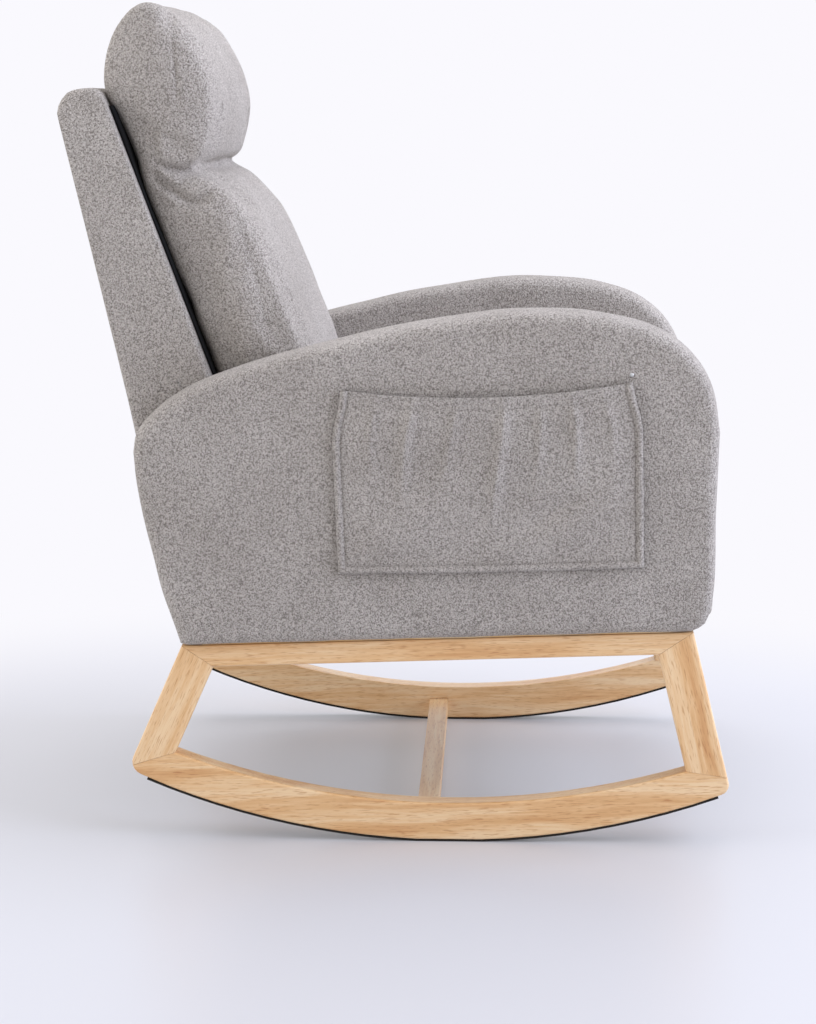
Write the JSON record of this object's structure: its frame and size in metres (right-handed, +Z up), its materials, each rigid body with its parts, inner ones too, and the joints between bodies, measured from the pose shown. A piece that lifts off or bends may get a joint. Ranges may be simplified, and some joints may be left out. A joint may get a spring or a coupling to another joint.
{
  "type": "rocking chair",
  "caption": "Upholstered rocking chair with padded arms, side pockets, a high back with a headrest roll, and mitred wooden side frames on curved rockers.",
  "frame": {"origin": "on the floor, under the middle of the chair's overall box, in the pose it stands at rest", "axes": "+Z up, the sitter faces -Y, +X is the sitter's left"},
  "size_m": [0.7016, 0.8132, 1.0186],
  "materials": {
    "rubberwood": "satin",
    "fleece": "matte",
    "black_strip": "matte",
    "pine": "matte",
    "plywood": "matte",
    "black_nonwoven": "matte",
    "zinc_plated_steel": "satin",
    "spring_steel": "satin"
  },
  "bodies": {
    "root": {"back_cushion": "fleece", "back_lining": "black_nonwoven", "back_lower_rail": "pine", "back_shell": "fleece", "back_top_rail": "pine", "dust_cover": "black_nonwoven", "front_apron": "fleece", "front_seat_rail": "pine", "headrest": "fleece", "left_arm_bolt_front": "zinc_plated_steel", "left_arm_bolt_rear": "zinc_plated_steel", "left_arm_pad": "fleece", "left_arm_panel": "plywood", "left_arm_post": "pine", "left_arm_sill": "pine", "left_back_bolt": "zinc_plated_steel", "left_back_stile": "pine", "left_base_bolt_front": "zinc_plated_steel", "left_base_bolt_rear": "zinc_plated_steel", "left_floor_strip": "black_strip", "left_front_leg": "rubberwood", "left_pocket": "fleece", "left_pocket_tack": "zinc_plated_steel", "left_rear_leg": "rubberwood", "left_rocker": "rubberwood", "left_seat_rail": "pine", "left_top_rail": "rubberwood", "rear_seat_rail": "pine", "right_arm_bolt_front": "zinc_plated_steel", "right_arm_bolt_rear": "zinc_plated_steel", "right_arm_pad": "fleece", "right_arm_panel": "plywood", "right_arm_post": "pine", "right_arm_sill": "pine", "right_back_bolt": "zinc_plated_steel", "right_back_stile": "pine", "right_base_bolt_front": "zinc_plated_steel", "right_base_bolt_rear": "zinc_plated_steel", "right_floor_strip": "black_strip", "right_front_leg": "rubberwood", "right_pocket": "fleece", "right_pocket_tack": "zinc_plated_steel", "right_rear_leg": "rubberwood", "right_rocker": "rubberwood", "right_seat_rail": "pine", "right_top_rail": "rubberwood", "seat_cushion": "fleece", "seat_deck": "black_nonwoven", "seat_spring_1": "spring_steel", "seat_spring_2": "spring_steel", "seat_spring_3": "spring_steel", "seat_spring_4": "spring_steel", "stretcher": "rubberwood"}
  },
  "joints": []
}
